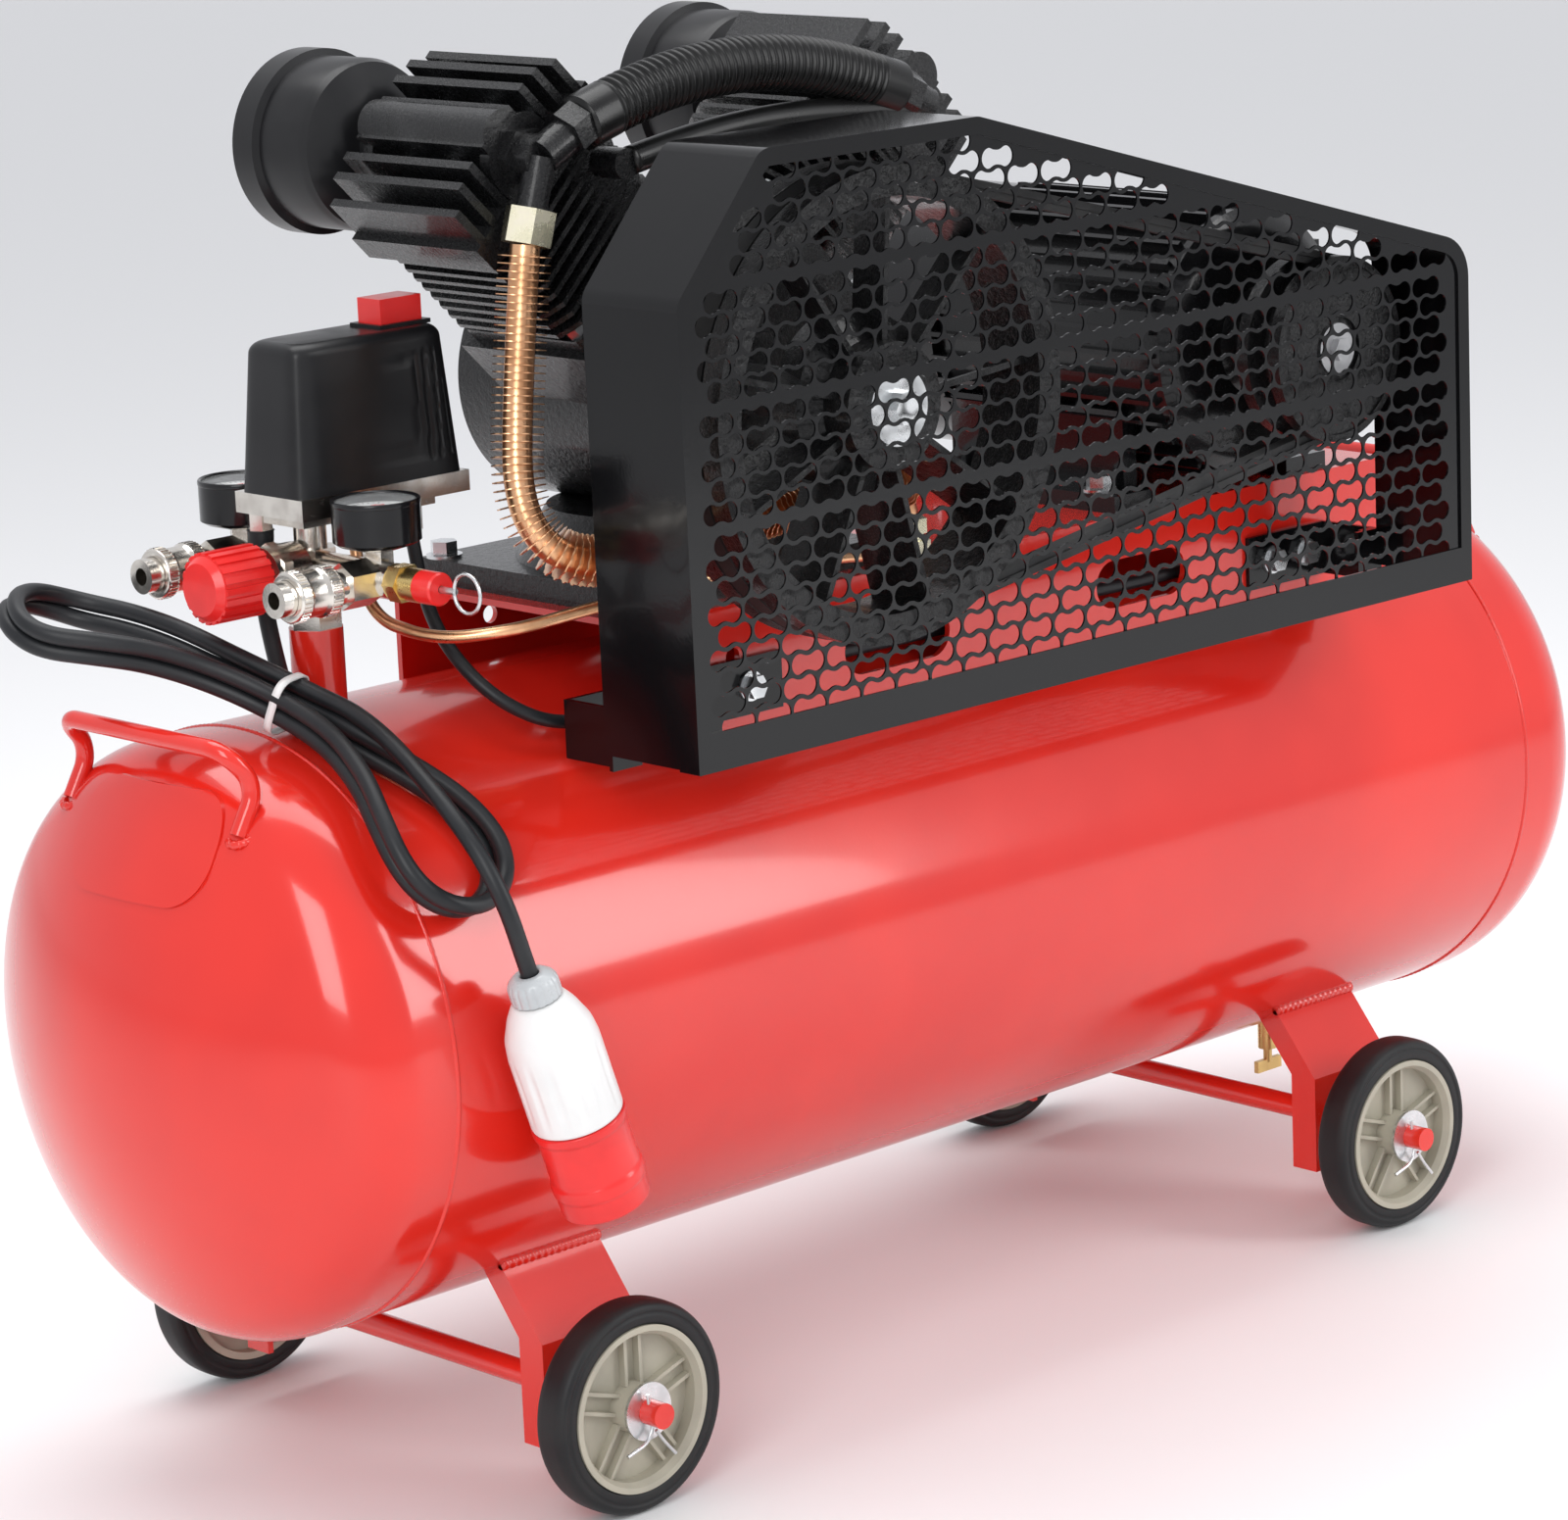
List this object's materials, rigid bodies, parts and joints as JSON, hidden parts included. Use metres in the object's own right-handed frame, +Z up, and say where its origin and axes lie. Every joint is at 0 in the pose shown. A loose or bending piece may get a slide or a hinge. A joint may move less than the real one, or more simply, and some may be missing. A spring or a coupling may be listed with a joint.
{
  "type": "air compressor",
  "caption": "Belt-driven piston air compressor: V-twin pump and electric motor on a wheeled horizontal receiver, with mesh belt guard, gauges and quick couplers.",
  "frame": {"origin": "on the floor below the middle of the whole machine", "axes": "+X along the tank towards the motor, -Y towards the belt guard, +Z up"},
  "size_m": [1.1518, 0.438, 0.8131],
  "materials": {
    "red_paint": "high gloss red powder coat",
    "black_paint": "glossy black paint",
    "black_casting": "black painted casting",
    "black_sheet": "glossy black powder coat",
    "steel": "ground steel",
    "zinc": "bright zinc plate",
    "nickel": "nickel plate",
    "brass": "plain brass",
    "copper": "copper",
    "tyre_rubber": "black rubber",
    "belt_rubber": "ribbed rubber",
    "hose_plastic": "ribbed black hose",
    "cable_rubber": "black cable sheath",
    "hub_plastic": "beige-grey nylon",
    "black_plastic": "satin black",
    "red_plastic": "glossy red",
    "white_plastic": "satin white",
    "aluminium_alloy": "turned alloy"
  },
  "bodies": {
    "frame": {"tank_shell": "red_paint", "tank_ends": "red_paint", "lifting_handles": "red_paint", "data_plate": "red_paint", "outlet_post": "red_paint", "drain_valve": "brass", "undercarriage": "red_paint", "axle_stubs": "red_paint", "wheel_fasteners": "zinc", "saddle_plate": "red_paint", "guard_shell": "black_sheet", "guard_mesh": "black_sheet", "guard_arms": "black_sheet", "machine_bolts": "zinc", "drive_belt": "belt_rubber", "motor_housing": "black_paint", "motor_covers": "black_paint", "terminal_box": "black_plastic", "crankcase": "black_casting", "cylinders": "black_casting", "cylinder_heads": "black_casting", "pump_bolts": "zinc", "intake_filters": "black_plastic", "outlet_elbows": "black_casting", "crossover_hose": "hose_plastic", "discharge_tube": "copper", "tube_nuts": "brass", "unloader_tube": "copper", "switch_cover": "black_plastic", "switch_base": "nickel", "manifold": "nickel", "gauge_cases": "black_plastic", "safety_valve": "brass", "power_cord": "cable_rubber", "cord_hank": "cable_rubber", "motor_cable": "cable_rubber", "plug_body": "white_plastic", "plug_shroud": "red_plastic"},
    "flywheel_body": {"flywheel": "black_casting", "crankshaft": "zinc"},
    "motor_body": {"motor_pulley": "black_casting", "motor_shaft": "steel"},
    "knob": {"regulator_knob": "red_plastic"},
    "button": {"switch_button": "red_plastic"},
    "relief_ring": {"safety_ring": "zinc"},
    "sleeve_left": {"coupler_sleeve_left": "nickel"},
    "sleeve_right": {"coupler_sleeve_right": "nickel"},
    "needle_left": {"gauge_needle_left": "red_plastic"},
    "needle_right": {"gauge_needle_right": "red_plastic"},
    "tap": {"drain_tap": "brass"},
    "piston_left_body": {"piston_left": "aluminium_alloy"},
    "piston_right_body": {"piston_right": "aluminium_alloy"},
    "wheel_front_left": {"tyre_front_left": "tyre_rubber", "hub_front_left": "hub_plastic"},
    "wheel_front_right": {"tyre_front_right": "tyre_rubber", "hub_front_right": "hub_plastic"},
    "wheel_rear_left": {"tyre_rear_left": "tyre_rubber", "hub_rear_left": "hub_plastic"},
    "wheel_rear_right": {"tyre_rear_right": "tyre_rubber", "hub_rear_right": "hub_plastic"}
  },
  "joints": [
    {"name": "wheel_front_left_spin", "type": "hinge", "parent": "frame", "child": "wheel_front_left", "pos_m": [-0.3535, -0.1655, 0.0625], "axis": [0, 1, 0], "continuous": true},
    {"name": "wheel_front_right_spin", "type": "hinge", "parent": "frame", "child": "wheel_front_right", "pos_m": [0.3157, -0.1655, 0.0625], "axis": [0, 1, 0], "continuous": true},
    {"name": "wheel_rear_left_spin", "type": "hinge", "parent": "frame", "child": "wheel_rear_left", "pos_m": [-0.3535, 0.1895, 0.0625], "axis": [0, 1, 0], "continuous": true},
    {"name": "wheel_rear_right_spin", "type": "hinge", "parent": "frame", "child": "wheel_rear_right", "pos_m": [0.3157, 0.1895, 0.0625], "axis": [0, 1, 0], "continuous": true},
    {"name": "flywheel_spin", "type": "hinge", "parent": "frame", "child": "flywheel_body", "pos_m": [-0.145, -0.175, 0.6085], "axis": [0, 1, 0], "continuous": true},
    {"name": "motor_spin", "type": "hinge", "parent": "frame", "child": "motor_body", "pos_m": [0.248, -0.175, 0.588], "axis": [0, 1, 0], "continuous": true},
    {"name": "knob_turn", "type": "hinge", "parent": "frame", "child": "knob", "pos_m": [-0.46, 0.012, 0.535], "axis": [-1, 0, 0], "range_deg": [-360, 360]},
    {"name": "button_press", "type": "slide", "parent": "frame", "child": "button", "axis": [0, 0, 1], "range_m": [-0.006, 0]},
    {"name": "relief_pull", "type": "slide", "parent": "frame", "child": "relief_ring", "axis": [0, -1, 0], "range_m": [0, 0.005], "stiffness_N_per_m": 400, "springref_m": -0.001},
    {"name": "sleeve_left_slide", "type": "slide", "parent": "frame", "child": "sleeve_left", "axis": [1, 0, 0], "range_m": [0, 0.004], "stiffness_N_per_m": 600, "springref_m": -0.001},
    {"name": "sleeve_right_slide", "type": "slide", "parent": "frame", "child": "sleeve_right", "axis": [1, 0, 0], "range_m": [0, 0.004], "stiffness_N_per_m": 600, "springref_m": -0.001},
    {"name": "needle_left_turn", "type": "hinge", "parent": "frame", "child": "needle_left", "pos_m": [-0.404, 0.072, 0.575], "axis": [0, 0, -1], "range_deg": [0, 270], "stiffness_Nm_per_rad": 0.0005},
    {"name": "needle_right_turn", "type": "hinge", "parent": "frame", "child": "needle_right", "pos_m": [-0.404, -0.048, 0.575], "axis": [0, 0, -1], "range_deg": [0, 270], "stiffness_Nm_per_rad": 0.0005},
    {"name": "tap_turn", "type": "hinge", "parent": "frame", "child": "tap", "pos_m": [0.397, 0.012, 0.062], "axis": [0, 0, 1], "range_deg": [0, 180]},
    {"name": "piston_left_stroke", "type": "slide", "parent": "frame", "child": "piston_left_body", "axis": [-0.7071, 0, 0.7071], "range_m": [-0.023, 0.023]},
    {"name": "piston_right_stroke", "type": "slide", "parent": "frame", "child": "piston_right_body", "axis": [0.7071, 0, 0.7071], "range_m": [-0.023, 0.023]}
  ],
  "couplings": [
    {"joint": "motor_spin", "follows": "flywheel_spin", "ratio": 2.4906}
  ]
}
